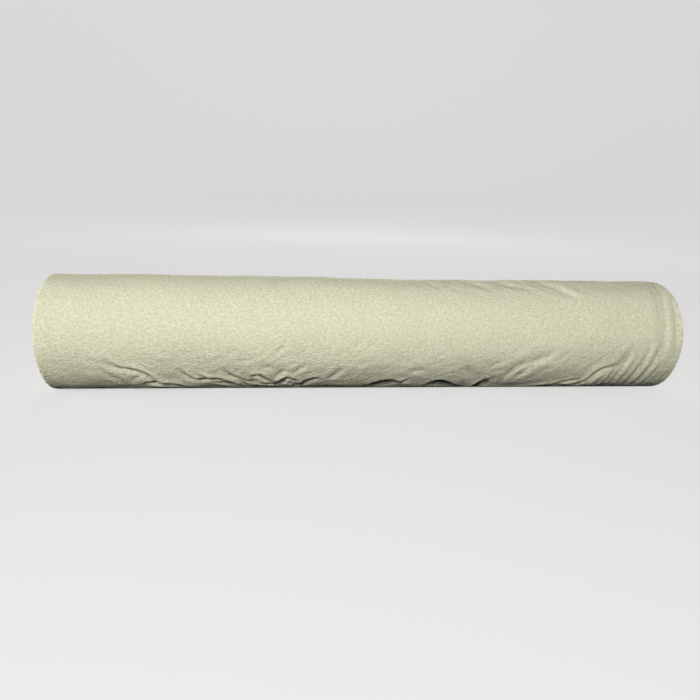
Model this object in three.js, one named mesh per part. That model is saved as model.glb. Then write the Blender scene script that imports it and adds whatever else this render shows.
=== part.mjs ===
// A roll of natural cotton batting, lying on its side.
//
// One long sheet is folded double along its length and wound up on itself, with no core. The roll is soft,
// so it sags a little and rests on a narrow flat strip. The loose end of the sheet is a low ledge along the
// back, and the edges of the turns show as a spiral at both ends. The slack outermost turn has settled into
// folds: puckers low on the front, long slanting folds to their left and right, and a fan near the right end.
//
// Millimetres and degrees. X runs along the roll, -Y is its front, +Z is up, and the origin is on the floor
// under the middle. "turn" is the angle around the roll: 0 at the front, 90 at the top, 180 at the back and
// -90, or 270, underneath.
import * as THREE from "three";

const { clamp, degToRad, lerp, radToDeg, smoothstep } = THREE.MathUtils;

const ROLL_LENGTH = 1200;
const ROLL_WIDTH = 219;
const ROLL_HEIGHT = 215;
const REST_STRIP = 60; // width of the strip pressed flat under the roll
const SHEET = 4; // the doubled sheet, and so the height of the ledge at its loose end
const RIM = 11; // rounding where the outer turns end
const BATTING_COLOUR = 0xdcd8bc;

// The section is an ellipse, cut off where that leaves the flat strip. Underneath, its surface is up to half
// a sheet nearer to the middle, so the middle lies lower by as much.
const HALF_WIDTH = ROLL_WIDTH / 2;
const KEPT_SHARE = Math.sqrt(1 - (REST_STRIP / ROLL_WIDTH) ** 2);
const HALF_HEIGHT = ROLL_HEIGHT / (1 + KEPT_SHARE);
const CENTRE_Z = HALF_HEIGHT * KEPT_SHARE - SHEET / 2;
const UNDERNEATH = 270;
const STRIP_TURN = radToDeg(Math.atan2(REST_STRIP / 2, CENTRE_Z)); // from underneath to the strip's edge

// The loose end, at the back. It was cut by hand, so its edge wanders in slow waves.
const END_TURN = 205;
const END_SLOPE = 1.4; // between the ledge's top and its foot
const END_WAVES = [
  { length: 1070, reach: 2.4, shift: 0 },
  { length: 400, reach: 1.2, shift: 1 },
];
const WANDER_REACH = 26; // the columns of points this near to the end wander with it

// Rows of points along the roll and columns around it, closer together where the folds are.
const ROW_ZONES = [
  { from: RIM - ROLL_LENGTH / 2, to: -489, step: 20 },
  { from: -489, to: 441, step: 13.5 },
  { from: 441, to: ROLL_LENGTH / 2 - RIM, step: 9.9 },
];
const COLUMN_ZONES = [
  { from: END_TURN, to: UNDERNEATH - STRIP_TURN, step: 10 },
  { from: UNDERNEATH - STRIP_TURN, to: UNDERNEATH + STRIP_TURN, step: 16 },
  { from: UNDERNEATH + STRIP_TURN, to: 296, step: 5 },
  { from: 296, to: 353, step: 4.1 },
  { from: 353, to: 385, step: 8 },
  { from: 385, to: 360 + END_TURN - END_SLOPE, step: 10.5 },
];
const RIM_STEPS = 3;

// The spiral at the ends, where a few main turns stand for the many fine ones.
const MAIN_TURNS = 5;
const GROOVE = 5; // depth between two turns
const CROWN = [0.3, 0.7]; // the flat of a turn lies between these shares of the way across it
const EYE = 0.4; // the winding starts here, in turns from the middle
const EYE_DEPTH = 12; // how far the middle lies back
const SPIRAL_MARGIN = 3; // from the last groove to the rim

// Slow swells of the surface, with half waves along the roll and whole waves around it.
const SWELLS = [
  { along: 1.4, around: 2, height: 1.0, shift: 0.5 },
  { along: 3.3, around: 1, height: 0.7, shift: 2.1 },
  { along: 5.2, around: 3, height: 0.5, shift: 4.4 },
  { along: 9.1, around: 2, height: 0.4, shift: 1.2 },
];

// Folds of the outermost turn. Each runs through three places, given by x and turn, and is a trough of that
// width and depth with a softer ridge beside it: above it where the side is 1, and below it where it is -1.
const FOLDS = [
  // Left: two long folds that run down to the floor, and a shorter one beside each.
  { x: [-482, -404, -322], turn: [-11, -36, -53], width: 8, depth: 5, side: 1 },
  { x: [-486, -477, -455], turn: [-24, -31, -42], width: 7, depth: 2, side: 1 },
  { x: [-366, -318, -226], turn: [-20, -36, -52], width: 8, depth: 5, side: 1 },
  { x: [-279, -262, -232], turn: [-24, -31, -49], width: 7, depth: 3, side: 1 },
  // Middle: puckers just above the floor, with short slanting folds over them.
  { x: [-218, -204, -181], turn: [-33, -29, -46], width: 7, depth: 5, side: 1 },
  { x: [-178, -155, -139], turn: [-42, -33, -46], width: 8, depth: 6, side: 1 },
  { x: [-141, -123, -101], turn: [-52, -41, -36], width: 7, depth: 6, side: 1 },
  { x: [-178, -169, -160], turn: [-32, -27, -23], width: 6, depth: 3, side: -1 },
  { x: [-153, -141, -130], turn: [-32, -26, -20], width: 6, depth: 3, side: -1 },
  { x: [-86, -70, -54], turn: [-39, -31, -22], width: 7, depth: 4, side: -1 },
  { x: [-4, 20, 70], turn: [-50, -40, -43], width: 9, depth: 6, side: 1 },
  { x: [120, 136, 183], turn: [-47, -41, -56], width: 9, depth: 6, side: 1 },
  { x: [207, 215, 234], turn: [-57, -44, -40], width: 8, depth: 7, side: 1 },
  // Right: slanting folds, the longest of which climbs from the floor to the fan.
  { x: [243, 259, 277], turn: [-41, -27, -16], width: 8, depth: 4, side: -1 },
  { x: [285, 303, 341], turn: [-35, -20, -6], width: 8, depth: 3.5, side: -1 },
  { x: [294, 400, 470], turn: [-57, -43, -16], width: 9, depth: 6, side: 1 },
  { x: [473, 486, 506], turn: [-32, -19, -7], width: 7, depth: 3, side: 1 },
  // Top.
  { x: [300, 350, 391], turn: [83, 71, 61], width: 8, depth: 2.5, side: 1 },
  { x: [-512, -430, -342], turn: [83, 88, 90], width: 8, depth: 2, side: -1 },
];
const FAN = { folds: 6, lowX: [460, 563], highX: [502, 562], turn: [-55, -30, -9], width: 6, depth: 3 };
const FAN_BEND = 0.35; // how far a fan's fold has leant over by its middle place
const END_RINGS = [
  { x: [556, 563, 576], turn: [14, 45, 92], width: 6, depth: 2, side: 1 },
  { x: [-570, -571, -569], turn: [-40, -5, 30], width: 6, depth: 2, side: -1 },
];

const RIDGE = { share: 0.6, place: 1.7, width: 1.3 }; // its height in depths, and place and width in widths
const FOLD_REACH = 5; // a fold is felt this many widths away
const FOLD_FADE = { share: 0.08, power: 0.6 }; // how a fold dies out towards its ends
const FOLD_PIECES = 8;
const FLOOR_FADE = [4, 20]; // folds and swells die out between these heights above the floor
const LOWEST_TURN = -130; // a turn is counted from here when it is matched with the folds

const SURFACE_PER_DEGREE = degToRad(HALF_WIDTH);

// Numbers from a zone table: each zone's start and even steps, and the last zone's end.
function steps(zones) {
  const values = [];
  for (const { from, to, step } of zones) {
    const count = Math.round((to - from) / step);
    for (let i = 0; i < count; i++) {
      values.push(lerp(from, to, i / count));
    }
  }
  values.push(zones.at(-1).to);
  return values;
}

// A fold's line on the unrolled surface, as points a few millimetres apart.
function foldLine({ x, turn }) {
  const places = x.map((along, i) => new THREE.Vector3(along, turn[i] * SURFACE_PER_DEGREE, 0));
  return new THREE.CatmullRomCurve3(places).getPoints(FOLD_PIECES);
}

function fanFolds() {
  const { folds, lowX, highX, turn, width, depth } = FAN;
  return Array.from({ length: folds }, (_, i) => {
    const share = i / (folds - 1);
    const low = lerp(...lowX, share);
    const high = lerp(...highX, share);
    return { x: [low, lerp(low, high, FAN_BEND), high], turn, width, depth, side: 1 };
  });
}

const foldLines = [...FOLDS, ...fanFolds(), ...END_RINGS].map((fold) => ({ ...fold, line: foldLine(fold) }));

// Nearest place on a fold's line: the distance, positive above the line, and the share of its length.
function nearest(line, x, s) {
  let best = { distance: Infinity, signed: 0, share: 0 };
  for (let i = 1; i < line.length; i++) {
    const [a, b] = [line[i - 1], line[i]];
    const [dx, ds] = [b.x - a.x, b.y - a.y];
    const t = clamp(((x - a.x) * dx + (s - a.y) * ds) / (dx * dx + ds * ds), 0, 1);
    const [offX, offS] = [x - a.x - t * dx, s - a.y - t * ds];
    const distance = Math.hypot(offX, offS);
    if (distance < best.distance) {
      const above = Math.sign(dx * offS - ds * offX) * Math.sign(dx || 1);
      best = { distance, signed: distance * above, share: (i - 1 + t) / (line.length - 1) };
    }
  }
  return best;
}

// How far one fold pushes the surface out, or in where negative.
function oneFold({ line, width, depth, side }, x, s) {
  const { distance, signed, share } = nearest(line, x, s);
  if (distance > FOLD_REACH * width) {
    return 0;
  }
  const inside = clamp(share, FOLD_FADE.share, 1 - FOLD_FADE.share);
  const fade = Math.sin(Math.PI * inside) ** FOLD_FADE.power;
  const trough = Math.exp(-((distance / width) ** 2));
  const ridge = Math.exp(-((((signed * side) / width - RIDGE.place) / RIDGE.width) ** 2));
  return depth * fade * (RIDGE.share * ridge - trough);
}

function foldHeight(x, turn) {
  const counted = turn > 360 + LOWEST_TURN ? turn - 360 : turn;
  return foldLines.reduce((sum, fold) => sum + oneFold(fold, x, counted * SURFACE_PER_DEGREE), 0);
}

function swellHeight(x, turn) {
  return SWELLS.reduce((sum, { along, around, height, shift }) => {
    const phase = (along * Math.PI * x) / ROLL_LENGTH + around * degToRad(turn) + shift;
    return sum + height * Math.sin(phase);
  }, 0);
}

// How far the rounded rim draws in at x.
function rimInset(x) {
  const over = Math.max(0, Math.abs(x) - (ROLL_LENGTH / 2 - RIM));
  return RIM - Math.sqrt(Math.max(0, RIM * RIM - over * over));
}

// How far the loose end, and the surface near it, lies from its mean turn.
function endWander(x, turn) {
  const fromEnd = Math.min(Math.abs(turn - END_TURN), Math.abs(turn - END_TURN - 360));
  const near = 1 - smoothstep(fromEnd, 0, WANDER_REACH);
  const wave = ({ length, reach, shift }) => reach * Math.sin((2 * Math.PI * x) / length + shift);
  return near * END_WAVES.reduce((sum, row) => sum + wave(row), 0);
}

// A point of the surface. share is how much of the last turn lies below it, 0 just under the loose end and 1
// on it, and the surface grows by one sheet over that turn. inset draws it towards the middle.
function surfacePoint(x, turn, share, inset = 0) {
  const at = turn + endWander(x, turn);
  const [across, up] = [-Math.cos(degToRad(at)), Math.sin(degToRad(at))];
  const ellipse = 1 / Math.hypot(across / HALF_WIDTH, up / HALF_HEIGHT);
  const plain = ellipse + SHEET * (share - 0.5) - inset;
  const clear = smoothstep(CENTRE_Z + plain * up, ...FLOOR_FADE);
  const radius = plain + clear * (swellHeight(x, at) + foldHeight(x, at));
  return new THREE.Vector3(x, across * radius, Math.max(0, CENTRE_Z + radius * up));
}

const columns = steps(COLUMN_ZONES);
const lastColumn = columns.length - 1;
const shares = columns.map((turn) => (turn - END_TURN) / (columns[lastColumn] - END_TURN));

function rimRows(side) {
  return Array.from({ length: RIM_STEPS }, (_, i) => {
    const rise = Math.sin((((i + 1) / RIM_STEPS) * Math.PI) / 2);
    return side * (ROLL_LENGTH / 2 - RIM + RIM * rise);
  });
}
const rows = [...rimRows(-1).reverse(), ...steps(ROW_ZONES), ...rimRows(1)];

const points = [];
const faces = [];

function addPoint(point) {
  points.push(point.x, point.y, point.z);
  return points.length / 3 - 1;
}

// Skin: one ring of points a row. The step back from the last column to the first is the ledge. Each square
// is split between the two corners that differ less in height, so that its diagonal runs along a fold.
const skin = rows.map((x) =>
  columns.map((turn, j) => addPoint(surfacePoint(x, turn, shares[j], rimInset(x)))),
);
const folded = rows.map((x) => columns.map((turn) => foldHeight(x, turn)));
for (let i = 0; i + 1 < rows.length; i++) {
  for (let j = 0; j < columns.length; j++) {
    const next = (j + 1) % columns.length;
    const [a, b, c, d] = [skin[i][j], skin[i + 1][j], skin[i + 1][next], skin[i][next]];
    const differAC = Math.abs(folded[i][j] - folded[i + 1][next]);
    const differBD = Math.abs(folded[i + 1][j] - folded[i][next]);
    const halves = differAC <= differBD ? [a, b, c, a, c, d] : [a, b, d, b, c, d];
    faces.push(halves);
  }
}

// Faces between two columns of an end, taking the points of both in the order in which they are wound.
function fillBetween(near, far, side) {
  let [i, k] = [0, 0];
  while (i + 1 < near.length || k + 1 < far.length) {
    const onNear = k + 1 === far.length || near[i + 1]?.wound <= far[k + 1].wound;
    const from = [near[i].index, far[k].index];
    const to = onNear ? near[++i].index : far[++k].index;
    const face = [from[0], to, from[1]];
    if (new Set(face).size === 3) {
      faces.push(side < 0 ? face : face.reverse());
    }
  }
}

// Ends: each column crosses one spiral, which winds out from the eye to just inside the rim, and has points
// in its grooves and on both edges of its crowns. wound is a point's place, in turns from the middle. A whole
// turn on, the last column has the first column's points.
function addEnd(side, rim) {
  const end = (side * ROLL_LENGTH) / 2;
  const middle = new THREE.Vector3(end - side * EYE_DEPTH, 0, CENTRE_Z);
  const heart = { wound: 0, index: addPoint(middle) };

  function endPoint(j, wound, groove) {
    const edge = surfacePoint(end, columns[j], 0, RIM + SPIRAL_MARGIN);
    const back = groove + EYE_DEPTH * (1 - smoothstep(wound, 0, 1));
    const place = middle.clone().lerp(edge, wound / MAIN_TURNS);
    return { wound, index: addPoint(place.setX(end - side * back)) };
  }

  function spiralColumn(j) {
    const chain = [heart];
    for (let count = -1; count <= MAIN_TURNS; count++) {
      for (const across of [0, ...CROWN]) {
        const wound = count + across + shares[j];
        if (wound >= EYE && wound <= MAIN_TURNS) {
          chain.push(endPoint(j, wound, across === 0 ? GROOVE : 0));
        }
      }
    }
    return chain;
  }

  const spiral = columns.slice(0, lastColumn).map((_, j) => spiralColumn(j));
  spiral.push(spiral[0]);
  const chains = spiral.map((chain, j) => [...chain, { wound: Infinity, index: rim[j] }]);
  chains.forEach((chain, j) => fillBetween(chain, chains[(j + 1) % chains.length], side));
}
addEnd(-1, skin[0]);
addEnd(1, skin.at(-1));

const geometry = new THREE.BufferGeometry();
geometry.setAttribute("position", new THREE.Float32BufferAttribute(points, 3));
geometry.setIndex(faces.flat());
geometry.computeBoundingBox();
const centre = geometry.boundingBox.getCenter(new THREE.Vector3());
geometry.translate(-centre.x, -centre.y, 0);
geometry.computeVertexNormals();

const material = new THREE.MeshStandardMaterial({ color: BATTING_COLOUR, roughness: 0.95, metalness: 0 });
const roll = new THREE.Mesh(geometry, material);
roll.name = "batting_roll";

const part = new THREE.Group();
part.add(roll);

export default part;
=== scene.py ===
# A roll of natural cotton batting on a pale studio floor.
#
# One long sheet is folded double and wound up about 44 times. Its outermost turn is a thin sheet of its own
# here, with the folds and the loose end. Each half of the roll inside it is one piece, whose end shows the
# edges of the turns: folded edges on the right, and the two cut edges of each turn on the left.
#
# Metres and degrees in the frame's axes: X along the roll, -Y to its front, +Z up. "turn" is the angle around
# the roll: 0 at the front, 90 at the top, 180 at the back, and -90 or 270 underneath.
import math
from itertools import pairwise
from typing import NamedTuple

import bmesh
import bpy
import numpy as np
from mathutils import Matrix, Vector


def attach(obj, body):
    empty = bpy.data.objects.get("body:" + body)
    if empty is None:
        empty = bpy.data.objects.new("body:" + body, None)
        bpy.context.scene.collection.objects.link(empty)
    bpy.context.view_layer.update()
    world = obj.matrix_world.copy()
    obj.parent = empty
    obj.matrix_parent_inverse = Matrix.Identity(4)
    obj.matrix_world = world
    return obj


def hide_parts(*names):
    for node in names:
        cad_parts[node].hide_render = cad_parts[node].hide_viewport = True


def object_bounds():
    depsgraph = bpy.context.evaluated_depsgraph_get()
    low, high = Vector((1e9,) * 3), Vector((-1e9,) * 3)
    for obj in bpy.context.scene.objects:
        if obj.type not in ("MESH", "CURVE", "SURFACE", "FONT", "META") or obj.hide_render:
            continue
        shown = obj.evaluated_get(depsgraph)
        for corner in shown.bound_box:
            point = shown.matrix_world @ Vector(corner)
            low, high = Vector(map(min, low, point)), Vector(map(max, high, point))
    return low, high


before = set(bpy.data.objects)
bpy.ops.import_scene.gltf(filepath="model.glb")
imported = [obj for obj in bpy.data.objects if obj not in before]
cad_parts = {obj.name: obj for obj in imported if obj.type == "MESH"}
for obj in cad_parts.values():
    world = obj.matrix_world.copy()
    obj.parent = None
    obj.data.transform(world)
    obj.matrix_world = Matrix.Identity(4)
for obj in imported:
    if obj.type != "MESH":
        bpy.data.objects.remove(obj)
cad_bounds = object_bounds()

SEED = 7

# The roll, in the solid's own sizes.
ROLL_LENGTH = cad_bounds[1][0] - cad_bounds[0][0]
ROLL_WIDTH = 0.219
ROLL_HEIGHT = 0.215
REST_STRIP = 0.060
SHEET = 0.004
RIM = 0.011
HALF_WIDTH = ROLL_WIDTH / 2
KEPT_SHARE = math.sqrt(1 - (REST_STRIP / ROLL_WIDTH) ** 2)
HALF_HEIGHT = ROLL_HEIGHT / (1 + KEPT_SHARE)
CENTRE_Z = HALF_HEIGHT * KEPT_SHARE - SHEET / 2
STRIP_ROUNDING = 0.0050
SURFACE_PER_DEGREE = math.radians(HALF_WIDTH)

# The loose end, at the back, wanders in waves.
END_TURN = 205
END_WAVES = [
    # length, reach in degrees, shift
    (1.07, 2.4, 0),
    (0.40, 1.2, 1),
    (0.12, 0.3, 2),
]
WANDER_REACH = 26  # in degrees, on both sides of the end
END_LIFTS = [
    # length of its waves, height, shift
    (0.83, 0.0011, 2.2),
    (0.31, 0.0008, 0.4),
]
LIFT_REACH = 0.045  # back from the end
LIFT_FADE = 0.15  # towards the sides
END_SHADE = 0.0022  # half width of the painted shadow line along the loose end

# The outermost turn. It starts tucked in under its own loose end, where its outer layer stops a little short.
SLACK = 0.0003  # between the outermost turn and those inside
WRAP_THICKNESS = SHEET - SLACK
LAYER = WRAP_THICKNESS / 2
WRAP_SET_BACK = 0.0045  # of its side edges from the roll's ends
WRAP_EDGE = ROLL_LENGTH / 2 - WRAP_SET_BACK
WRAP_START = 199
WRAP_STOP = 360 + END_TURN
TUCKED_THICKNESS = 0.0008
TUCK_TAPER = (0.004, 0.024)
LAYER_STEP = 0.005
LAYER_STEP_POINTS = 5  # of the edge steps, at the outer layer's end
EDGE_STEPS = np.array([0, 0.0002, 0.0007, 0.0014, 0.0022, 0.0034, 0.0052])
ROW_STEP = 0.0029
COLUMN_ZONES = [
    # first turn, last turn, step
    (WRAP_START, 211, 0.0042),
    (211, 296, 0.0056),
    (296, 352, 0.00175),
    (352, 376, 0.0026),
    (376, 402, 0.0034),
    (402, 458, 0.0042),
    (458, 558, 0.0056),
]
LINING_STEP = 5  # the hidden inside has one point in so many rows and columns
LINING_THICKNESS = 0.0027

# The turns inside.
TURNS = 44
TURN_COLUMNS = 180
LOOSE_TURNS = 6  # the outermost ones lie ever looser
WOUND_SAMPLES = 1000
TURNS_DEPTH = 0.0038  # from the roll's surface to the outermost of them
TURNS_SET_BACK = 0.0024  # of their edges from the roll's ends
MIDDLE_GAP = 0.0005
EYE = (0.0080, 0.0042)  # half width and half height of the hollow in the middle
EYE_TILT = 28
EYE_STEP_DOWN = 0.008  # of the innermost turns
EYE_TURNS = 2.6
EYE_RINGS = [
    # share of the eye's size, depth below the innermost turn
    (0.93, 0.004),
    (0.80, 0.012),
    (0.62, 0.024),
    (0.40, 0.034),
    (0.00, 0.038),
]
GROOVE_SHADE = 0.30  # painted shade in the grooves between the turns
SIDE_RINGS = [
    # distance from the edge of the outermost of them, along the roll and towards its axis
    (0.0035, 0.0005),
    (0.0110, 0.0030),
    (0.0280, 0.0175),
]
EDGE_WANDERS = [
    # turns from one place to the next, reach of the edges in and out
    (0.13, 0.00045),
    (0.9, 0.00110),
    (6.0, 0.00180),
]
FOLDED_EDGE = [
    # share of the way across the sheet, height
    (0, -0.0019),
    (0.13, -0.0008),
    (0.31, -0.0002),
    (0.50, 0),
    (0.69, -0.0002),
    (0.87, -0.0008),
]
CUT_EDGES = [
    (0, -0.0021),
    (0.10, -0.0006),
    (0.26, 0),
    (0.41, -0.0004),
    (0.51, -0.0013),
    (0.61, -0.0007),
    (0.76, -0.0003),
    (0.91, -0.0008),
]

# Slow swells of the surface, with half waves along the roll and whole waves around it.
SWELLS = [
    # along, around, height, shift
    (1.4, 2, 0.0010, 0.5),
    (3.3, 1, 0.0007, 2.1),
    (5.2, 3, 0.0005, 4.4),
    (9.1, 2, 0.0004, 1.2),
]
LUMPS = [
    # shortest wave, longest wave, number of waves, height
    (0.060, 0.140, 14, 0.00045),
    (0.024, 0.050, 24, 0.00022),
    (0.012, 0.020, 30, 0.00012),
    (0.007, 0.012, 40, 0.00008),
]
TURN_LUMPS = (0.030, 0.100, 18, 0.0013)  # how unevenly the turns lie, in the same terms


class Fold(NamedTuple):
    """A trough through places (x, turn), with a soft ridge on its left. Side -1 puts it on the right."""

    places: list
    width: float
    depth: float
    side: int = 1
    tuck: float = 1.4  # how much wider the trough is away from its ridge


LEFT_FOLDS = [
    Fold([(-0.478, -13), (-0.465, -20), (-0.450, -23), (-0.428, -26)], 0.0046, 0.0032),
    Fold([(-0.440, -24), (-0.418, -29), (-0.403, -39), (-0.392, -45)], 0.0046, 0.0050),
    Fold([(-0.414, -44), (-0.398, -46), (-0.364, -49), (-0.346, -56), (-0.322, -66)], 0.0048, 0.0100),
    Fold([(-0.488, -24), (-0.478, -31), (-0.461, -41), (-0.450, -51)], 0.0050, 0.0018),
    Fold([(-0.443, -41), (-0.428, -33), (-0.420, -31)], 0.0040, 0.0014),
    Fold([(-0.352, -25), (-0.340, -34), (-0.322, -40), (-0.290, -40), (-0.266, -47), (-0.250, -55)],
         0.0048, 0.0074),
    Fold([(-0.330, -27), (-0.317, -33), (-0.301, -37), (-0.287, -38)], 0.0040, 0.0028),
    Fold([(-0.300, -45), (-0.282, -48), (-0.260, -53)], 0.0040, 0.0042),
    Fold([(-0.275, -24), (-0.266, -31), (-0.252, -37), (-0.236, -41), (-0.220, -44)], 0.0044, 0.0040),
    Fold([(-0.249, -41), (-0.240, -47), (-0.229, -56)], 0.0040, 0.0036),
]
MIDDLE_FOLDS = [
    Fold([(-0.223, -39), (-0.217, -33), (-0.208, -32), (-0.200, -38), (-0.191, -43), (-0.179, -44)],
         0.0040, 0.0062, tuck=1.7),
    Fold([(-0.219, -41), (-0.210, -46), (-0.198, -49), (-0.180, -50)], 0.0040, 0.0055, tuck=1.2),
    Fold([(-0.179, -51), (-0.170, -43), (-0.162, -38), (-0.154, -37), (-0.147, -41), (-0.140, -49)],
         0.0042, 0.0074, tuck=1.5),
    Fold([(-0.173, -50), (-0.165, -45), (-0.156, -45), (-0.147, -50)], 0.0034, 0.0038, tuck=1.2),
    Fold([(-0.144, -54), (-0.131, -49), (-0.120, -42), (-0.110, -38), (-0.104, -38)],
         0.0044, 0.0072, tuck=1.8),
    Fold([(-0.177, -34), (-0.169, -28), (-0.161, -23)], 0.0044, 0.0026, side=-1),
    Fold([(-0.201, -22), (-0.193, -20), (-0.183, -22)], 0.0055, 0.0020),
    Fold([(-0.144, -31), (-0.136, -24), (-0.127, -20)], 0.0044, 0.0022, side=-1),
    Fold([(-0.080, -37), (-0.072, -34), (-0.064, -28), (-0.057, -24)], 0.0044, 0.0034, side=-1),
    Fold([(-0.012, -63), (0.000, -54), (0.016, -47), (0.034, -43), (0.047, -44), (0.061, -50)],
         0.0050, 0.0095, tuck=4.5),
    Fold([(0.056, -48), (0.064, -43), (0.074, -38)], 0.0042, 0.0026),
    Fold([(0.072, -28), (0.086, -24), (0.099, -27)], 0.0070, 0.0015, tuck=1.0),
    Fold([(0.103, -63), (0.117, -51), (0.128, -45), (0.138, -44), (0.150, -48), (0.168, -57), (0.186, -66)],
         0.0050, 0.0100, tuck=4.5),
    Fold([(0.175, -16), (0.182, -23), (0.190, -30), (0.202, -39)], 0.0080, 0.0026),
    Fold([(0.196, -76), (0.207, -62), (0.216, -50), (0.227, -42)], 0.0046, 0.0150, tuck=3.6),
]
RIGHT_FOLDS = [
    Fold([(0.254, -50), (0.262, -34), (0.276, -21), (0.294, -14), (0.315, -10)], 0.0072, 0.0030, side=-1),
    Fold([(0.279, -39), (0.287, -31), (0.296, -22), (0.304, -18)], 0.0060, 0.0024, side=-1),
    Fold([(0.300, -17), (0.313, -12), (0.330, -8), (0.346, -2)], 0.0085, 0.0026, side=-1),
    Fold([(0.262, -62), (0.296, -61), (0.330, -57), (0.360, -51), (0.386, -44), (0.406, -41)],
         0.0046, 0.0074),
    Fold([(0.330, -66), (0.352, -60), (0.372, -55), (0.388, -52)], 0.0042, 0.0040),
    Fold([(0.396, -56), (0.415, -49), (0.428, -42), (0.437, -31), (0.450, -24), (0.466, -20)],
         0.0048, 0.0068),
    Fold([(0.466, -25), (0.479, -18), (0.494, -8), (0.508, 2)], 0.0085, 0.0022, side=-1),
]

# The fan near the right end, whose folds run up from the floor and lean over towards the end.
FAN_FOLDS = [
    Fold([(0.440, -62), (0.435, -49), (0.435, -39), (0.441, -30)], 0.0036, 0.0018, side=-1),
    Fold([(0.461, -64), (0.455, -50), (0.454, -38), (0.460, -28)], 0.0034, 0.0016, side=-1),
    Fold([(0.478, -64), (0.471, -50), (0.471, -34), (0.477, -18), (0.486, -4)], 0.0036, 0.0020, side=-1),
    Fold([(0.492, -64), (0.484, -47), (0.483, -32), (0.489, -13), (0.498, 4)], 0.0042, 0.0032, side=-1),
    Fold([(0.507, -62), (0.500, -46), (0.500, -32), (0.506, -17), (0.514, -4)], 0.0036, 0.0020, side=-1),
    Fold([(0.524, -66), (0.518, -50), (0.517, -34), (0.525, -15), (0.535, 6)], 0.0044, 0.0034, side=-1),
    Fold([(0.544, -66), (0.537, -48), (0.538, -32), (0.545, -14), (0.552, 8)], 0.0044, 0.0028, side=-1),
    Fold([(0.560, -64), (0.554, -48), (0.556, -31), (0.562, -16)], 0.0038, 0.0022, side=-1),
    Fold([(0.573, -60), (0.567, -44), (0.569, -28), (0.574, -12)], 0.0040, 0.0014, side=-1),
    Fold([(0.587, -54), (0.582, -38), (0.585, -22)], 0.0036, 0.0010, side=-1),
    Fold([(0.512, -20), (0.520, -5), (0.530, 12)], 0.0090, 0.0014, side=-1),
    Fold([(0.548, -16), (0.553, 0), (0.560, 16)], 0.0080, 0.0012, side=-1),
]
TOP_FOLDS = [
    Fold([(0.330, 82), (0.352, 73), (0.376, 62), (0.392, 55)], 0.0060, 0.0034),
    Fold([(0.250, 83), (0.283, 74), (0.312, 68)], 0.0060, 0.0032),
    Fold([(0.170, 86), (0.203, 78), (0.229, 67)], 0.0060, 0.0026),
    Fold([(0.440, 86), (0.470, 80), (0.500, 71)], 0.0055, 0.0024),
    Fold([(-0.512, 83), (-0.430, 88), (-0.342, 90)], 0.0055, 0.0020, side=-1),
    Fold([(-0.229, 58), (-0.217, 49), (-0.205, 38)], 0.0070, 0.0014),
]
END_RINGS = [
    Fold([(0.575, 86), (0.567, 60), (0.559, 36), (0.556, 12), (0.558, -8)], 0.0050, 0.0034),
    Fold([(0.561, 84), (0.555, 58), (0.549, 34), (0.544, 6)], 0.0046, 0.0026),
    Fold([(0.589, 74), (0.584, 44), (0.582, 14), (0.584, -10)], 0.0040, 0.0024),
    Fold([(-0.570, -32), (-0.571, 5), (-0.569, 34)], 0.0050, 0.0020),
]


class Family(NamedTuple):
    """Faint short creases, scattered over a stretch of the surface and all at about the same slope."""

    x: tuple
    turn: tuple
    slope: float
    count: int
    length: float
    depth: float


FAMILIES = [
    Family((-0.30, 0.02), (-38, 8), 52, 150, 0.022, 0.00048),
    Family((0.00, 0.26), (-40, -4), 32, 20, 0.045, 0.00035),
    Family((0.24, 0.50), (-42, 4), 46, 60, 0.036, 0.00045),
    Family((0.18, 0.42), (18, 62), -55, 14, 0.050, 0.00030),
    Family((-0.56, -0.28), (-58, -12), -30, 22, 0.050, 0.00045),
    Family((0.08, 0.46), (64, 88), -30, 30, 0.036, 0.00130),
    Family((-0.54, 0.54), (60, 165), 8, 46, 0.060, 0.00030),
    Family((-0.55, 0.55), (-82, -52), -8, 40, 0.060, 0.00060),
    Family((-0.55, 0.55), (-135, -100), 5, 36, 0.070, 0.00045),
]
FAMILY_WIDTH = 0.0031
FAMILY_SPREAD = 9  # of the slopes, in degrees
FAMILY_BEND = 0.8  # at the middle, in degrees around the roll
HALF_LENGTHS = (0.3, 0.65)  # least and most, as shares of the family's values
WIDTHS = (0.8, 1.5)
DEPTHS = (0.5, 1.4)

# The section across a fold. Places and widths are in the fold's own width, heights in its depth.
RIDGE_SHARE = 0.54
LIP_SHARE = 0.24  # of the lower ridge on a trough's other side
RIDGE_PLACE = 1.9
RIDGE_WIDTH = 1.5
FOLD_REACH = 7
CREASE_SHADE_WIDTH = 0.55  # of the painted shade along its trough
CREASE_SHADE_TUCK = 1.5  # power of the tuck, by which the painted shade is wider away from the ridge
CREASE_SHADE_PLACE = 0.25

FOLD_PIECES = 6  # of the line between two places
FOLD_END = 0.04  # share of a fold's length at its ends, over which it no longer fades
FOLD_FADE = 0.6  # power of the sine that fades it along its length
DEEPEST = 0.013  # where folds meet
CREASE_SHADE_FADE = (0.0012, 0.0085)  # depths of the troughs whose painted shade starts, and where it is darkest
FLOOR_FADE = (0.002, 0.013)
FIRST_TURN = -160  # turns are counted from here where they are matched with the folds

# The cotton's colours.
CREAM_PALE = (0.800, 0.804, 0.590, 1)
CREAM_WARM = (0.778, 0.774, 0.550, 1)
CREAM_GREY = (0.768, 0.764, 0.612, 1)
CREAM_DEEP = (0.552, 0.546, 0.376, 1)
# Painted shade: the colour that fold troughs, the grooves between the turns, the hollow in the middle and the
# line along the loose end are darkened towards, in place of their shadows.
PAINTED_SHADE_COLOUR = (0.230, 0.225, 0.175, 1)
COTTON_SURFACE = {
    "Roughness": 0.95,
    "Specular IOR Level": 0.2,
    "Sheen Weight": 0.06,
    "Sheen Roughness": 0.5,
    "Sheen Tint": (1.0, 0.98, 0.90, 1),
}


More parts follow.
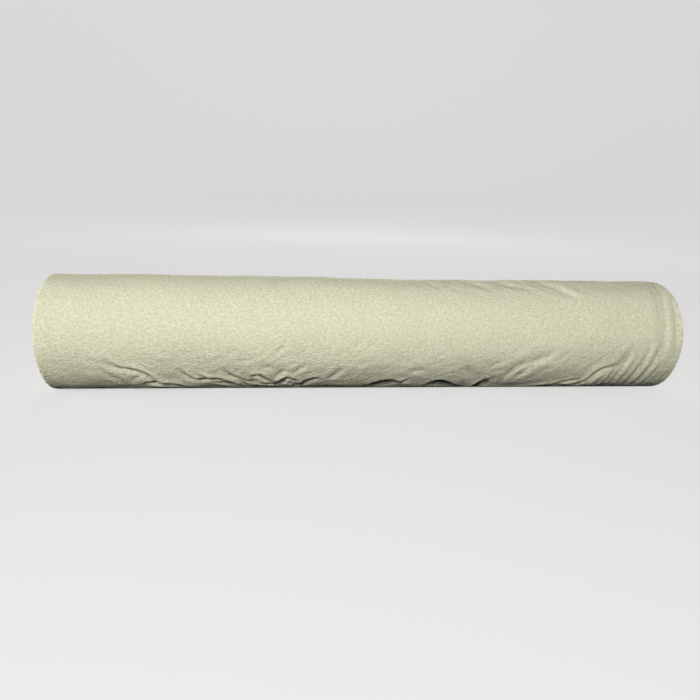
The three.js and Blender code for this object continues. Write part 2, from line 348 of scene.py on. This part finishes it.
class Noise(NamedTuple):
    """A noise in the cloth's own metres, and the range of it that is stretched to go from 0 to 1."""

    scale: float
    detail: float
    roughness: float = 0.5
    distortion: float = 0.0
    low: float = 0.0
    high: float = 1.0


# The outside of the cloth.
CLOTH_MOTTLE = Noise(22, 2, low=0.2, high=0.8)
CLOTH_FLECKS = Noise(240, 3, 0.65, low=0.40, high=0.60)
CLOTH_PATCHES = Noise(190, 4, 0.68, low=0.60, high=0.38)
CLOTH_FIBRES = Noise(900, 3, 0.6, 1.2)
PIT_SLANT = 38
PIT_SCALE = (150, 270, 1)
PIT_RANGE = (0.05, 0.65)
# painted shade in the dimples' hollows
PIT_PAINTED_SHADE = 0.34
PATCH_DARKNESS = 0.42
PIT_HEIGHT = 0.45
FIBRE_HEIGHT = 0.35
PATCH_HEIGHT = 0.65
CLOTH_BUMP = 0.0011

# Its edges.
EDGE_MOTTLE = Noise(30, 3, low=0.3, high=0.7)
EDGE_STREAKS = Noise(1.0, 3, 0.6, 0.6, low=0.65, high=0.3)
EDGE_TUFTS = Noise(420, 2, 0.6, 0.5)
STREAK_SCALE = (160, 1400, 1)
STREAK_DARKNESS = 0.35
STREAK_HEIGHT = 0.5
TUFT_HEIGHT = 0.8
EDGE_BUMP = 0.0008

# The camera, as the outline in the photo gives it.
CAMERA_PLACE = Vector((-0.1364, -1.0994, 0.3979))
CAMERA_YAW = -5.36
CAMERA_DOWN = 16.63
CAMERA_ROLL = 1.63
CAMERA_LENS = 29.35
SENSOR = 36

# The studio: a round floor whose edge curves up into a wall, and soft light from the front, sides and back.
FLOOR_RADIUS = 3.0
CURVE_RADIUS = 2.0
WALL_HEIGHT = 5.0
CURVE_POINTS = 13
STEPS_ROUND = 96
BACKDROP_COLOUR = (0.22, 0.22, 0.218, 1)
BACKDROP_GLOW = 0.60
SKY = (0.033, 0.041, 0.058, 1)
GROUND = (0.005, 0.007, 0.011, 1)
SKY_EDGE = (-0.3, 0.3)
KEY = {"place": (-0.55, -2.25, 1.38), "size": (1.0, 0.6), "power": 68}
SIDE_LIGHTS = [
    # place, power
    ((6.0, 0.6, 0.5), 230),
    ((-6.0, 0.6, 0.5), 230),
    ((0.5, 6.0, 0.9), 300),
]
SIDE_SIZE = (3.0, 0.8)
LIGHT_COLOUR = (1.0, 0.98, 0.94)

TINY = 1e-6  # keeps a division from failing
MERGED = 1e-5  # distance of points that become one

rng = np.random.default_rng(SEED)


def smoothstep(value, low, high):
    t = np.clip((value - low) / (high - low), 0, 1)
    return t * t * (3 - 2 * t)


def bell(value):
    return np.exp(-(value**2))


def line_through(places):
    """A smooth line through places (x, turn), as points (x, distance around the roll)."""
    p = np.array(places, float) * (1, SURFACE_PER_DEGREE)
    p = np.vstack([2 * p[0] - p[1], p, 2 * p[-1] - p[-2]])
    t = np.linspace(0, 1, FOLD_PIECES, endpoint=False)[:, None]
    spans = [
        b + 0.5 * ((c - a) * t + (2 * a - 5 * b + 4 * c - d) * t**2 + (3 * b - a - 3 * c + d) * t**3)
        for a, b, c, d in zip(p, p[1:], p[2:], p[3:])
    ]
    return np.vstack([*spans, p[-2]])


def nearest_on(line, x, s):
    """The distance from each point to a line, positive on its left, and the share of the line's length."""
    best = np.full(x.shape, np.inf)
    signed = np.zeros(x.shape)
    share = np.zeros(x.shape)
    for i, (a, b) in enumerate(pairwise(line)):
        d = b - a
        t = np.clip(((x - a[0]) * d[0] + (s - a[1]) * d[1]) / (d @ d), 0, 1)
        off_x, off_s = x - a[0] - t * d[0], s - a[1] - t * d[1]
        away = np.hypot(off_x, off_s)
        leftward = np.sign(d[0] * off_s - d[1] * off_x)
        nearer = away < best
        best = np.where(nearer, away, best)
        signed = np.where(nearer, away * leftward, signed)
        share = np.where(nearer, (i + t) / (len(line) - 1), share)
    return signed, share


def family_folds(family):
    """The creases of one family, at seeded places."""
    folds = []
    for _ in range(family.count):
        x, turn = rng.uniform(*family.x), rng.uniform(*family.turn)
        slope = math.radians(family.slope + rng.normal(0, FAMILY_SPREAD))
        half = family.length * rng.uniform(*HALF_LENGTHS)
        dx, dt = half * math.cos(slope), half * math.sin(slope) / SURFACE_PER_DEGREE
        places = [(x - dx, turn - dt), (x, turn + rng.normal(0, FAMILY_BEND)), (x + dx, turn + dt)]
        width = FAMILY_WIDTH * rng.uniform(*WIDTHS)
        depth = family.depth * rng.uniform(*DEPTHS)
        folds.append(Fold(places, width, depth, side=int(rng.choice((-1, 1)))))
    return folds


FOLDS = [*LEFT_FOLDS, *MIDDLE_FOLDS, *RIGHT_FOLDS, *TOP_FOLDS, *END_RINGS, *FAN_FOLDS]
for family in FAMILIES:
    FOLDS += family_folds(family)


def fold_height(x, turn):
    """How far the folds push the surface out, or in where negative, and the painted shade along their
    troughs.
    """
    s = ((turn - FIRST_TURN) % 360 + FIRST_TURN) * SURFACE_PER_DEGREE
    height = np.zeros(x.shape)
    painted_shade = np.zeros(x.shape)
    for fold in FOLDS:
        line = line_through(fold.places)
        low = line.min(0) - FOLD_REACH * fold.width
        high = line.max(0) + FOLD_REACH * fold.width
        near = (x > low[0]) & (x < high[0]) & (s > low[1]) & (s < high[1])
        signed, share = nearest_on(line, x[near], s[near])
        off = signed * fold.side / fold.width
        depth = fold.depth * np.sin(np.pi * np.clip(share, FOLD_END, 1 - FOLD_END)) ** FOLD_FADE
        trough = bell(off / np.where(off > 0, 1, fold.tuck))
        ridge = bell((off - RIDGE_PLACE) / RIDGE_WIDTH)
        lip = bell((off / fold.tuck + RIDGE_PLACE) / RIDGE_WIDTH)
        edges = (RIDGE_SHARE * ridge + LIP_SHARE * lip) / fold.tuck
        height[near] += depth * (edges - trough)
        # Painted shade along the trough, wider on the tucked side, standing in for the shadow in the fold.
        from_line = (off - CREASE_SHADE_PLACE) / CREASE_SHADE_WIDTH
        painted_shade[near] += depth * bell(from_line / np.where(from_line > 0, 1, fold.tuck**CREASE_SHADE_TUCK))
    limited = DEEPEST * np.tanh(height / DEEPEST)
    return np.where(height < 0, limited, height), painted_shade


def swell_height(x, turn):
    total = np.zeros(x.shape)
    for along, around, height, shift in SWELLS:
        total += height * np.sin(along * np.pi * x / ROLL_LENGTH + around * np.radians(turn) + shift)
    return total


def plane_waves(shortest, longest, count, height):
    """Waves in seeded directions through space, whose sum is a smooth noise of about that height."""
    directions = rng.normal(size=(count, 3))
    directions /= np.linalg.norm(directions, axis=1)[:, None]
    vectors = 2 * np.pi * directions / rng.uniform(shortest, longest, count)[:, None]
    return list(zip(vectors, rng.uniform(0, 2 * np.pi, count))), height * math.sqrt(2 / count)


LUMP_WAVES = [plane_waves(*row) for row in LUMPS]


def wave_sum(waves, points):
    """What plane waves add up to at points in space."""
    rows, height = waves
    total = np.zeros(points.shape[:-1])
    for vector, phase in rows:
        total += height * np.sin(points @ vector + phase)
    return total


def ellipse(turn, half_width=HALF_WIDTH, half_height=HALF_HEIGHT):
    """The distance from the middle to an ellipse."""
    return 1 / np.hypot(np.cos(np.radians(turn)) / half_width, np.sin(np.radians(turn)) / half_height)


def at(x, turn, radius):
    """Points at places along, around and out from the roll's middle."""
    across, up = -np.cos(np.radians(turn)), np.sin(np.radians(turn))
    return np.stack([x, across * radius, CENTRE_Z + up * radius], -1)


def above(floor, radius, turn):
    """The radius, shortened where it would reach below a level floor, with the corner a little rounded."""
    down = np.maximum(-np.sin(np.radians(turn)), TINY)
    limit = (CENTRE_Z - floor) / down
    blend = np.clip(0.5 + (limit - radius) / (2 * STRIP_ROUNDING), 0, 1)
    return limit + (radius - limit) * blend - STRIP_ROUNDING * blend * (1 - blend)


def relief(x, turn):
    """Swells, lumps and folds together, which fade out near the floor, and the painted shade in the folds'
    troughs.
    """
    plain = at(x, turn, ellipse(turn))
    lumps = sum(wave_sum(waves, plain) for waves in LUMP_WAVES)
    height, painted_shade = fold_height(x, turn)
    free = smoothstep(plain[..., 2], *FLOOR_FADE)
    return free * (swell_height(x, turn) + height + lumps), smoothstep(painted_shade, *CREASE_SHADE_FADE)


def quarter_round(distance):
    """How far the rounded rim has fallen away, at a distance from where it ends."""
    over = np.clip(RIM - distance, 0, RIM)
    return RIM - np.sqrt(RIM * RIM - over * over)


def rounded_edge(distance, thickness):
    """The share of its thickness that a soft sheet has at a distance from its edge."""
    t = np.clip(2 * distance / thickness, 0, 1)
    return np.sqrt(1 - (1 - t) ** 2)


def end_wander(x, turn):
    """How many degrees the loose end and the cloth near it lie past their straight line."""
    waves = sum(reach * np.sin(2 * np.pi * x / length + shift) for length, reach, shift in END_WAVES)
    return (1 - smoothstep(np.abs(WRAP_STOP - turn), 0, WANDER_REACH)) * waves


def end_lift(x, to_side, to_end):
    """How far the sheet stands off near its loose end."""
    waves = sum(height * (1 + np.sin(2 * np.pi * x / length + shift)) for length, height, shift in END_LIFTS)
    return waves * smoothstep(to_side, 0, LIFT_FADE) * smoothstep(LIFT_REACH - to_end, 0, LIFT_REACH)


def new_piece(name, points, faces, cloth, painted_shade):
    """A smooth closed mesh. cloth has each point's place on the unrolled cloth, and the last argument how
    much painted shade it has.
    """
    mesh = bpy.data.meshes.new(name)
    mesh.from_pydata(points.tolist(), [], faces)
    corners = np.zeros(len(mesh.loops), np.int32)
    mesh.loops.foreach_get("vertex_index", corners)
    layer = mesh.uv_layers.new(name="cloth")
    layer.data.foreach_set("uv", cloth[corners].astype(np.float32).ravel())
    # Painted shade, kept on each point for the material to darken by.
    shade = mesh.attributes.new("painted_shade", "FLOAT", "POINT")
    shade.data.foreach_set("value", painted_shade.astype(np.float32))
    form = bmesh.new()
    form.from_mesh(mesh)
    bmesh.ops.recalc_face_normals(form, faces=form.faces)
    form.to_mesh(mesh)
    form.free()
    mesh.shade_smooth()
    piece = bpy.data.objects.new(name, mesh)
    bpy.context.scene.collection.objects.link(piece)
    return piece


def wrap_rows():
    """Places along the roll, closer together at the side edges."""
    inner = WRAP_EDGE - EDGE_STEPS[-1]
    ends = WRAP_EDGE - EDGE_STEPS[:-1]
    return np.concatenate([-ends, np.linspace(-inner, inner, round(2 * inner / ROW_STEP) + 1), ends[::-1]])


def wrap_columns():
    """Turns around the roll, closer together where the folds are and at the loose end."""
    zones = [
        np.linspace(first, last, round((last - first) * SURFACE_PER_DEGREE / step), endpoint=False)
        for first, last, step in COLUMN_ZONES
    ]
    from_end = np.concatenate([LAYER_STEP + EDGE_STEPS[:LAYER_STEP_POINTS][::-1], EDGE_STEPS[::-1]])
    return np.concatenate([*zones, WRAP_STOP - from_end / SURFACE_PER_DEGREE])


def across_the_cloth(rows):
    """How far across the cloth the rows lie, measured over its rounded side edges."""
    drop = (1 - rounded_edge(WRAP_EDGE - np.abs(rows), WRAP_THICKNESS)) * WRAP_THICKNESS / 2
    return np.cumsum(np.hypot(np.diff(rows, prepend=rows[0]), np.diff(drop, prepend=drop[0])))


def wrap_form(x, base):
    """The turns of places on the outermost turn, how far out its top and bottom are, and how much painted
    shade it has.
    """
    turn = base + end_wander(x, base)
    to_side = WRAP_EDGE - np.abs(x)
    to_end = (WRAP_STOP - base) * SURFACE_PER_DEGREE
    from_start = (base - WRAP_START) * SURFACE_PER_DEGREE
    raised, painted_shade = relief(x, turn)
    outside = ellipse(turn) + SHEET * ((base - END_TURN) / 360 - 0.5) + raised
    outside += end_lift(x, to_side, to_end) - quarter_round(ROLL_LENGTH / 2 - np.abs(x))
    # Painted shadow in a thin line along the loose end and the turn beneath it.
    past_end = (base - END_TURN - end_wander(x, WRAP_STOP)) * SURFACE_PER_DEGREE
    painted_shade = np.maximum(painted_shade, bell(past_end / END_SHADE))

    side = rounded_edge(to_side, WRAP_THICKNESS)
    inner_layer = rounded_edge(to_end, LAYER)
    outer_layer = rounded_edge(np.maximum(to_end - LAYER_STEP, 0), LAYER)
    full = TUCKED_THICKNESS + (WRAP_THICKNESS - TUCKED_THICKNESS) * smoothstep(from_start, *TUCK_TAPER)
    thickness = np.minimum(full, LAYER * (inner_layer + outer_layer)) * side
    inside = outside - full + (1 - side) * full / 2 + (1 - inner_layer) * LAYER / 2
    top = above(0, inside + thickness, turn)
    bottom = np.minimum(above(WRAP_THICKNESS, inside, turn), top)
    return turn, top, bottom, painted_shade


def marks(first, last):
    """The first of a run of rows or columns, one in LINING_STEP of the others, and the last."""
    return [*range(first, last, LINING_STEP), last]


def lining_faces(under, rows, columns):
    """Faces over a block of rows and columns, which have all the points at the block's edges."""
    faces = []
    for i, next_i in pairwise(rows):
        for j, next_j in pairwise(columns):
            left = [(i, k) for k in (range(j, next_j) if i == rows[0] else [j])]
            bottom = [(k, next_j) for k in (range(i, next_i) if next_j == columns[-1] else [i])]
            right = [(next_i, k) for k in (range(next_j, j, -1) if next_i == rows[-1] else [next_j])]
            top = [(k, j) for k in (range(next_i, i, -1) if j == columns[0] else [next_i])]
            faces.append([under(*place) for place in [*left, *bottom, *right, *top]])
    return faces


def make_wrap():
    """The outermost turn: a thin closed sheet, fine outside and coarser on its hidden inside."""
    rows = wrap_rows()
    x, base = np.meshgrid(rows, wrap_columns(), indexing="ij")
    turn, top, bottom, painted_shade = wrap_form(x, base)
    grid = np.arange(x.size).reshape(x.shape)
    points = list(at(x, turn, top).reshape(-1, 3))
    corners = [grid[:-1, :-1], grid[1:, :-1], grid[1:, 1:], grid[:-1, 1:]]
    faces = np.stack(corners, -1).reshape(-1, 4).tolist()

    last_row, last_column = x.shape[0] - 1, x.shape[1] - 1
    first_fine, last_fine = len(EDGE_STEPS) - 1, last_row - len(EDGE_STEPS) + 1
    fine_column = last_column - len(EDGE_STEPS) - LAYER_STEP_POINTS + 1
    made = {}

    def under(i, j):
        """The point on the inside below a place, which is the place itself along the sheet's edges."""
        if i in (0, last_row) or j in (0, last_column):
            return int(grid[i, j])
        if (i, j) not in made:
            around = (slice(max(0, k - LINING_STEP), k + LINING_STEP + 1) for k in (i, j))
            near_edge = i < first_fine or i > last_fine or j > fine_column
            lined = min(bottom[i, j], top[*around].min() - LINING_THICKNESS)
            radius = bottom[i, j] if near_edge else lined
            made[i, j] = x.size + len(made)
            points.append(at(x[i, j], turn[i, j], radius))
        return made[i, j]

    for i in range(last_row):
        for j in range(last_column):
            if i < first_fine or i >= last_fine or j >= fine_column:
                faces.append([under(i, j), under(i, j + 1), under(i + 1, j + 1), under(i + 1, j)])
    faces += lining_faces(under, marks(first_fine, last_fine), marks(0, fine_column))

    i, j = np.array([*np.ndindex(x.shape), *made]).T
    cloth = np.stack([across_the_cloth(rows)[i], base[0, j] * SURFACE_PER_DEGREE], -1)
    return new_piece("batting_wrap", np.array(points), faces, cloth, painted_shade[i, j])


def wound_share(wound):
    """How far out a count of turns from the eye has got, as a share. The outermost turns lie looser."""
    counts = np.linspace(0, TURNS + 1, WOUND_SAMPLES)
    looseness = smoothstep(counts, TURNS - LOOSE_TURNS, TURNS)
    mean = looseness.mean()
    radius = HALF_WIDTH - TURNS_DEPTH - sum(EYE) / 2
    tight = (radius / (TURNS + 1) - SHEET * mean) / (1 - mean)
    reached = np.cumsum(tight + (SHEET - tight) * looseness)
    return np.interp(wound, counts, (reached - reached[0]) / (reached[-1] - reached[0]))


def edge_wander(columns):
    """How far each column of the winding has wandered out of its end, or in where negative."""
    wound = columns / TURN_COLUMNS
    total = np.zeros(len(columns))
    for spacing, reach in EDGE_WANDERS:
        knots = rng.uniform(-reach, reach, int((TURNS + 2) / spacing) + 2)
        total += np.interp(wound / spacing, np.arange(len(knots)), knots)
    return total


class Shell:
    """A mesh in the making: points with their places on the cloth and their painted shade, and faces."""

    def __init__(self, points, faces, cloth, painted_shade):
        self.points = points
        self.faces = faces
        self.cloth = cloth
        self.painted_shade = painted_shade

    def add_loop(self, like, places, across, shade):
        """New points, each as far across the cloth from the point that it is like. Returns their numbers."""
        first = len(self.points)
        self.points = np.vstack([self.points, places])
        self.cloth = np.vstack([self.cloth, self.cloth[like] + (0, across)])
        self.painted_shade = np.append(self.painted_shade, np.full(len(like), shade))
        return np.arange(first, first + len(like))

    def join(self, loop, next_loop):
        """Faces between two closed loops of as many points."""
        pairs = list(zip(loop.tolist(), next_loop.tolist()))
        self.faces += [[a, b, d, c] for (a, c), (b, d) in zip(pairs, pairs[1:] + pairs[:1])]

    def close_eye(self, eye_loop, side):
        """Rings that narrow into the hollow in the middle, and its heart, with painted shade that deepens
        towards the heart.
        """
        middle = self.points[eye_loop].mean(0)
        deepest = EYE_RINGS[-1][1]
        loop = eye_loop
        for scale, depth in EYE_RINGS[:-1]:
            places = middle + (self.points[eye_loop] - middle) * (1, scale, scale) - (side * depth, 0, 0)
            # painted shade, darker the deeper the ring
            next_loop = self.add_loop(eye_loop, places, -depth, depth / deepest)
            self.join(loop, next_loop)
            loop = next_loop
        heart = int(self.add_loop(eye_loop[:1], [middle - (side * deepest, 0, 0)], -deepest, 1)[0])
        self.faces += [[a, b, heart] for a, b in zip(loop.tolist(), np.roll(loop, -1).tolist())]

    def close_side(self, outer_loop, side):
        """Rings along the outermost turn to the roll's middle, and one flat face there."""
        from_axis = self.points[outer_loop] - (0, 0, CENTRE_Z)
        distance = np.hypot(from_axis[:, 1], from_axis[:, 2])[:, None]
        loop = outer_loop
        for along, further_in in SIDE_RINGS:
            places = from_axis * (1, 0, 0) + from_axis * (0, 1, 1) * (1 - further_in / distance)
            places += (-side * along, 0, CENTRE_Z)
            next_loop = self.add_loop(outer_loop, places, along, 0)
            self.join(loop, next_loop)
            loop = next_loop
        places = self.points[loop] * (0, 1, 1) + (side * MIDDLE_GAP, 0, 0)
        middle_loop = self.add_loop(outer_loop, places, ROLL_LENGTH / 2, 0)
        self.join(loop, middle_loop)
        self.faces.append(middle_loop.tolist())


def make_turns(name, side, profile):
    """Half of the roll inside its outermost turn. The winding's edges are one spiral strip at its end."""
    samples = len(profile)
    share, edge_height = np.array(profile).T
    winding = TURNS * TURN_COLUMNS
    grid_size = (winding + 1) * samples

    def index(column, sample):
        """The number of a point on the strip, whose last sample is the first one of the next turn out."""
        column = column + TURN_COLUMNS * (sample == samples)
        sample = sample % samples
        return np.where(column <= winding, column * samples + sample, grid_size + column - winding - 1)

    def loop_of(first):
        """The closed loop of one turn's lower edge, which steps back down across the sheet."""
        around = index(np.arange(first, first + TURN_COLUMNS + 1), 0)
        return np.concatenate([around, index(first, np.arange(samples - 1, 0, -1))])

    column = np.repeat(np.arange(winding + 1), samples)
    column = np.concatenate([column, np.arange(winding + 1, winding + 1 + TURN_COLUMNS)])
    sample = np.concatenate([np.tile(np.arange(samples), winding + 1), np.zeros(TURN_COLUMNS, int)])
    turn = END_TURN + 360 * column / TURN_COLUMNS
    out = wound_share(column / TURN_COLUMNS + share[sample])

    raised, _ = relief(np.full(turn.shape, side * WRAP_EDGE), turn)
    surface = above(0, ellipse(turn) + raised, turn)
    eye = ellipse(turn - EYE_TILT, *EYE)
    radius = eye + (surface - TURNS_DEPTH - eye) * out
    wander = edge_wander(np.arange(winding + 1 + TURN_COLUMNS))
    edge = wander[column]
    groove = (sample == 0) & (column >= TURN_COLUMNS)
    edge[groove] = np.minimum(edge[groove], wander[column[groove] - TURN_COLUMNS])
    steps_down = EYE_STEP_DOWN * (1 - smoothstep(column / TURN_COLUMNS, 0, EYE_TURNS))
    face = ROLL_LENGTH / 2 - TURNS_SET_BACK - quarter_round(surface - radius)
    points = at(side * (face + edge + edge_height[sample] - steps_down), turn, radius)
    unevenness = 4 * out * (1 - out)  # 1 halfway out, and none at the eye and the outside
    for axis in (1, 2):
        points[:, axis] += unevenness * wave_sum(plane_waves(*TURN_LUMPS), points * (0, 1, 1))

    c, s = np.meshgrid(np.arange(winding), np.arange(samples), indexing="ij")
    corners = [index(c, s), index(c, s + 1), index(c + 1, s + 1), index(c + 1, s)]
    arc = np.cumsum(np.radians(360 / TURN_COLUMNS) * radius[sample == 0])
    shell = Shell(
        points,
        faces=np.stack(corners, -1).reshape(-1, 4).tolist(),
        cloth=np.stack([arc[column], radius], -1),
        # painted shade in the grooves between the turns
        painted_shade=np.where(sample == 0, GROOVE_SHADE, 0),
    )
    shell.close_eye(loop_of(0), side)
    shell.close_side(loop_of(winding), side)
    return new_piece(name, shell.points, shell.faces, shell.cloth, shell.painted_shade)


class Graph:
    """A material's nodes. An input is a value, or another node's output."""

    def __init__(self, tree):
        self.tree = tree
        tree.nodes.clear()

    def add(self, kind, inputs, output=0, **settings):
        node = self.tree.nodes.new(kind)
        for name, value in settings.items():
            setattr(node, name, value)
        for name, value in inputs.items():
            if isinstance(value, bpy.types.NodeSocket):
                self.tree.links.new(value, node.inputs[name])
            else:
                node.inputs[name].default_value = value
        return node.outputs[output] if node.outputs else None

    def math(self, operation, a, b):
        return self.add("ShaderNodeMath", {0: a, 1: b}, operation=operation)

    def mix(self, factor, a, b):
        # The colours are this node's inputs 6 and 7, and its output 2.
        return self.add("ShaderNodeMix", {0: factor, 6: a, 7: b}, output=2, data_type="RGBA")

    def noise(self, place, noise):
        names = ("Scale", "Detail", "Roughness", "Distortion")
        return self.add("ShaderNodeTexNoise", {"Vector": place, **dict(zip(names, noise))})

    def stretch(self, value, low, high):
        return self.add("ShaderNodeMapRange", {0: value, 1: low, 2: high}, interpolation_type="SMOOTHSTEP")

    def stretched_noise(self, place, noise):
        return self.stretch(self.noise(place, noise), noise.low, noise.high)


def cloth_look(graph, cloth):
    """Needle-punched cotton: a faint mottle, small slanting dimples with painted shade in them, and fibres.
    """
    turned = (0, 0, math.radians(PIT_SLANT))
    slanted = graph.add("ShaderNodeMapping", {"Vector": cloth, "Rotation": turned, "Scale": PIT_SCALE})
    pits = graph.add("ShaderNodeTexVoronoi", {"Vector": slanted, "Scale": 1.0}, voronoi_dimensions="2D")
    pits = graph.stretch(pits, *PIT_RANGE)
    patches = graph.noise(cloth, CLOTH_PATCHES)
    fibres = graph.noise(cloth, CLOTH_FIBRES)

    tone = graph.mix(graph.stretched_noise(cloth, CLOTH_MOTTLE), CREAM_WARM, CREAM_PALE)
    tone = graph.mix(graph.stretched_noise(cloth, CLOTH_FLECKS), tone, CREAM_GREY)
    # Painted shade in the dimples' hollows; the patches are the cotton's own uneven tone.
    pit_shade = graph.math("MULTIPLY", graph.math("SUBTRACT", 1.0, pits), PIT_PAINTED_SHADE)
    patch_dark = graph.stretch(patches, CLOTH_PATCHES.low, CLOTH_PATCHES.high)
    dark = graph.math("ADD", pit_shade, graph.math("MULTIPLY", patch_dark, PATCH_DARKNESS))

    pit_height = graph.math("MULTIPLY", pits, PIT_HEIGHT)
    height = graph.math("ADD", pit_height, graph.math("MULTIPLY", fibres, FIBRE_HEIGHT))
    height = graph.math("ADD", height, graph.math("MULTIPLY", patches, PATCH_HEIGHT))
    return graph.mix(dark, tone, CREAM_DEEP), height


def edges_look(graph, cloth):
    """The edges of the winding, with fibres that run along it."""
    lengthwise = graph.add("ShaderNodeMapping", {"Vector": cloth, "Scale": STREAK_SCALE})
    streaks = graph.noise(lengthwise, EDGE_STREAKS)
    tufts = graph.noise(cloth, EDGE_TUFTS)

    tone = graph.mix(graph.stretched_noise(cloth, EDGE_MOTTLE), CREAM_WARM, CREAM_PALE)
    dark = graph.stretch(streaks, EDGE_STREAKS.low, EDGE_STREAKS.high)
    colour = graph.mix(graph.math("MULTIPLY", dark, STREAK_DARKNESS), tone, CREAM_DEEP)
    streak_height = graph.math("MULTIPLY", streaks, STREAK_HEIGHT)
    return colour, graph.math("ADD", streak_height, graph.math("MULTIPLY", tufts, TUFT_HEIGHT))


def cotton(name, look, bump_reach):
    """A soft matt material, whose look gives its colour and height, and which is darkened with painted shade
    in the creases, grooves and hollows.
    """
    material = bpy.data.materials.new(name)
    material.use_nodes = True
    graph = Graph(material.node_tree)
    colour, height = look(graph, graph.add("ShaderNodeUVMap", {}, uv_map="cloth"))
    # Painted shade: the colour darkens by the mesh's painted shade, in place of shadows.
    painted_shade = graph.add("ShaderNodeAttribute", {}, output="Fac", attribute_name="painted_shade")
    colour = graph.mix(painted_shade, colour, PAINTED_SHADE_COLOUR)
    bump = graph.add("ShaderNodeBump", {"Height": height, "Strength": 1.0, "Distance": bump_reach})
    surface = {"Base Color": colour, "Normal": bump, **COTTON_SURFACE}
    graph.add("ShaderNodeOutputMaterial", {"Surface": graph.add("ShaderNodeBsdfPrincipled", surface)})
    return material


def make_backdrop():
    """A pale floor that curves up into a wall all round. It casts no light back on the roll."""
    angles = np.linspace(0, np.pi / 2, CURVE_POINTS)
    curve = np.stack([FLOOR_RADIUS + CURVE_RADIUS * np.sin(angles), CURVE_RADIUS * (1 - np.cos(angles))], -1)
    profile = [(0, 0), *curve, (FLOOR_RADIUS + CURVE_RADIUS, WALL_HEIGHT)]
    mesh = bpy.data.meshes.new("backdrop")
    form = bmesh.new()
    points = [form.verts.new((radius, 0, height)) for radius, height in profile]
    lines = [form.edges.new(pair) for pair in pairwise(points)]
    whole_turn = {"axis": (0, 0, 1), "angle": 2 * math.pi, "steps": STEPS_ROUND}
    bmesh.ops.spin(form, geom=points + lines, use_merge=True, **whole_turn)
    bmesh.ops.remove_doubles(form, verts=form.verts, dist=MERGED)
    form.to_mesh(mesh)
    form.free()
    mesh.shade_smooth()
    backdrop = bpy.data.objects.new("backdrop", mesh)
    bpy.context.scene.collection.objects.link(backdrop)
    backdrop.visible_diffuse = False
    backdrop.visible_glossy = False
    backdrop.visible_shadow = False

    material = bpy.data.materials.new("backdrop")
    material.use_nodes = True
    graph = Graph(material.node_tree)
    shader = graph.add(
        "ShaderNodeBsdfPrincipled",
        {
            "Base Color": BACKDROP_COLOUR,
            "Roughness": 1.0,
            "Specular IOR Level": 0.0,
            "Emission Color": (1, 1, 1, 1),
            "Emission Strength": BACKDROP_GLOW,
        },
    )
    graph.add("ShaderNodeOutputMaterial", {"Surface": shader})
    mesh.materials.append(material)


def add_area_light(name, place, size, power):
    """A soft light that shines on the roll's middle."""
    light = bpy.data.lights.new(name, "AREA")
    light.shape = "RECTANGLE"
    light.size, light.size_y = size
    light.energy = power
    light.color = LIGHT_COLOUR
    lamp = bpy.data.objects.new(name, light)
    lamp.location = place
    lamp.rotation_euler = (Vector((0, 0, CENTRE_Z)) - Vector(place)).to_track_quat("-Z", "Y").to_euler()
    bpy.context.scene.collection.objects.link(lamp)


def light_the_studio():
    scene = bpy.context.scene
    scene.view_settings.view_transform = "Standard"
    world = bpy.data.worlds.new("studio")
    world.use_nodes = True
    graph = Graph(world.node_tree)
    direction = graph.add("ShaderNodeTexCoord", {}, output="Generated")
    height = graph.add("ShaderNodeSeparateXYZ", {0: direction}, output="Z")
    colour = graph.mix(graph.stretch(height, *SKY_EDGE), GROUND, SKY)
    surroundings = graph.add("ShaderNodeBackground", {"Color": colour})
    graph.add("ShaderNodeOutputWorld", {"Surface": surroundings})
    scene.world = world
    add_area_light("key", **KEY)
    for number, (place, power) in enumerate(SIDE_LIGHTS):
        add_area_light(f"side_{number}", place, SIDE_SIZE, power)


def place_camera():
    camera = bpy.data.cameras.new("camera")
    camera.lens = CAMERA_LENS
    camera.sensor_width = SENSOR
    seen_from = bpy.data.objects.new("camera", camera)
    yaw = Matrix.Rotation(math.radians(CAMERA_YAW), 4, "Z")
    pitch = Matrix.Rotation(math.radians(90 - CAMERA_DOWN), 4, "X")
    roll = Matrix.Rotation(math.radians(CAMERA_ROLL), 4, "Z")
    seen_from.matrix_world = Matrix.Translation(CAMERA_PLACE) @ yaw @ pitch @ roll
    bpy.context.scene.collection.objects.link(seen_from)
    bpy.context.scene.camera = seen_from


place_camera()
light_the_studio()
make_backdrop()

wrap = make_wrap()
turns_left = make_turns("batting_turns_left", -1, CUT_EDGES)
turns_right = make_turns("batting_turns_right", 1, FOLDED_EDGE)
wrap.data.materials.append(cotton("cotton_batting", cloth_look, CLOTH_BUMP))
edges = cotton("cotton_batting_edges", edges_look, EDGE_BUMP)
for piece in (turns_left, turns_right):
    piece.data.materials.append(edges)
low_y, high_y = (extreme(point.co.y for point in wrap.data.vertices) for extreme in (min, max))
to_middle = Matrix.Translation((0, -(low_y + high_y) / 2, 0))
for piece in (wrap, turns_left, turns_right):
    piece.data.transform(to_middle)
    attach(piece, "root")
    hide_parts("batting_roll")
